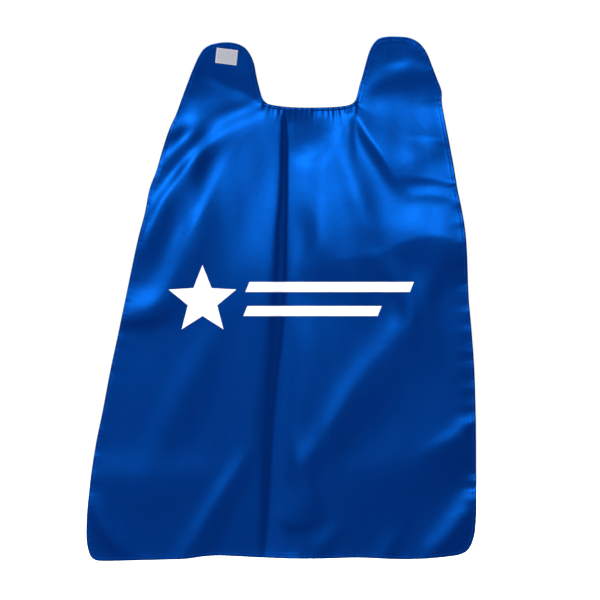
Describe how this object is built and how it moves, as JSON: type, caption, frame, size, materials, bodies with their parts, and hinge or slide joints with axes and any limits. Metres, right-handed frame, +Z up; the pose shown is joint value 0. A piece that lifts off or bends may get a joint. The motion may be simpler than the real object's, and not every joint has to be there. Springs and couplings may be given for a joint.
{
  "type": "superhero cape",
  "caption": "Satin costume cape: broad draped back panel, curved bound neckline and shoulder tabs that close at the throat with a hook and loop patch.",
  "frame": {"origin": "nape point, the middle of the top edge of the neck binding", "axes": "+Z up along the hanging cape towards the tabs, +X to the right as seen from the decorated face, +Y from the decorated face towards the wearer"},
  "size_m": [0.5245, 0.0199, 0.7051],
  "materials": {
    "satin": "royal blue polyester satin, smooth with a soft coloured sheen",
    "binding_satin": "the same satin folded as a gathered neck binding",
    "polyester_thread": "matching blue topstitching",
    "hook_tape": "white woven tape with fine nylon hooks",
    "loop_tape": "white brushed loop tape",
    "tape_thread": "white thread",
    "elastic": "white braided elastic",
    "label": "blank white satin label",
    "print_film": "thin matt white heat-transfer film"
  },
  "bodies": {
    "yoke": {"yoke_panel": "satin", "neck_binding": "binding_satin", "neck_binding_thread": "polyester_thread", "neck_elastic": "elastic", "care_label": "label", "yoke_left_hem": "satin", "yoke_left_hem_thread": "polyester_thread", "yoke_right_hem": "satin", "yoke_right_hem_thread": "polyester_thread"},
    "mid_cape": {"middle_panel": "satin", "middle_left_hem": "satin", "middle_left_hem_thread": "polyester_thread", "middle_right_hem": "satin", "middle_right_hem_thread": "polyester_thread", "print_star": "print_film", "print_upper_bar": "print_film", "print_lower_bar": "print_film"},
    "lower_cape": {"lower_panel": "satin", "lower_hem": "satin", "lower_hem_thread": "polyester_thread"},
    "left_tab": {"left_tab_panel": "satin", "left_tab_inner_hem": "satin", "left_tab_inner_hem_thread": "polyester_thread", "left_tab_outer_hem": "satin", "left_tab_outer_hem_thread": "polyester_thread"},
    "left_tab_end": {"left_tip_panel": "satin", "left_tip_hem": "satin", "left_tip_hem_thread": "polyester_thread", "hook_patch": "hook_tape", "hook_patch_thread": "tape_thread"},
    "right_tab": {"right_tab_panel": "satin", "right_tab_inner_hem": "satin", "right_tab_inner_hem_thread": "polyester_thread", "right_tab_outer_hem": "satin", "right_tab_outer_hem_thread": "polyester_thread"},
    "right_tab_end": {"right_tip_panel": "satin", "right_tip_hem": "satin", "right_tip_hem_thread": "polyester_thread", "loop_patch": "loop_tape", "loop_patch_thread": "tape_thread"}
  },
  "joints": [
    {"name": "left_tab_fold", "type": "hinge", "parent": "yoke", "child": "left_tab", "pos_m": [-0.12374, 0, -0.00161], "axis": [-0.9539, 0, -0.3001], "range_deg": [-25, 115], "stiffness_Nm_per_rad": 0.002},
    {"name": "left_tab_wrap", "type": "hinge", "parent": "left_tab", "child": "left_tab_end", "pos_m": [-0.11903, 0, 0.03672], "axis": [-0.9198, 0, -0.3923], "range_deg": [-20, 90], "stiffness_Nm_per_rad": 0.002},
    {"name": "right_tab_fold", "type": "hinge", "parent": "yoke", "child": "right_tab", "pos_m": [0.12206, 0, 0.00242], "axis": [-0.9657, 0, 0.2598], "range_deg": [-25, 115], "stiffness_Nm_per_rad": 0.002},
    {"name": "right_tab_wrap", "type": "hinge", "parent": "right_tab", "child": "right_tab_end", "pos_m": [0.12307, 0, 0.04008], "axis": [-0.932, 0, 0.3624], "range_deg": [-20, 90], "stiffness_Nm_per_rad": 0.002},
    {"name": "upper_sway", "type": "hinge", "parent": "yoke", "child": "mid_cape", "pos_m": [0, 0, -0.17243], "axis": [-1, 0, 0], "range_deg": [-30, 70], "stiffness_Nm_per_rad": 0.004},
    {"name": "lower_sway", "type": "hinge", "parent": "mid_cape", "child": "lower_cape", "pos_m": [0, 0, -0.38628], "axis": [-1, 0, 0], "range_deg": [-60, 75], "stiffness_Nm_per_rad": 0.003}
  ]
}
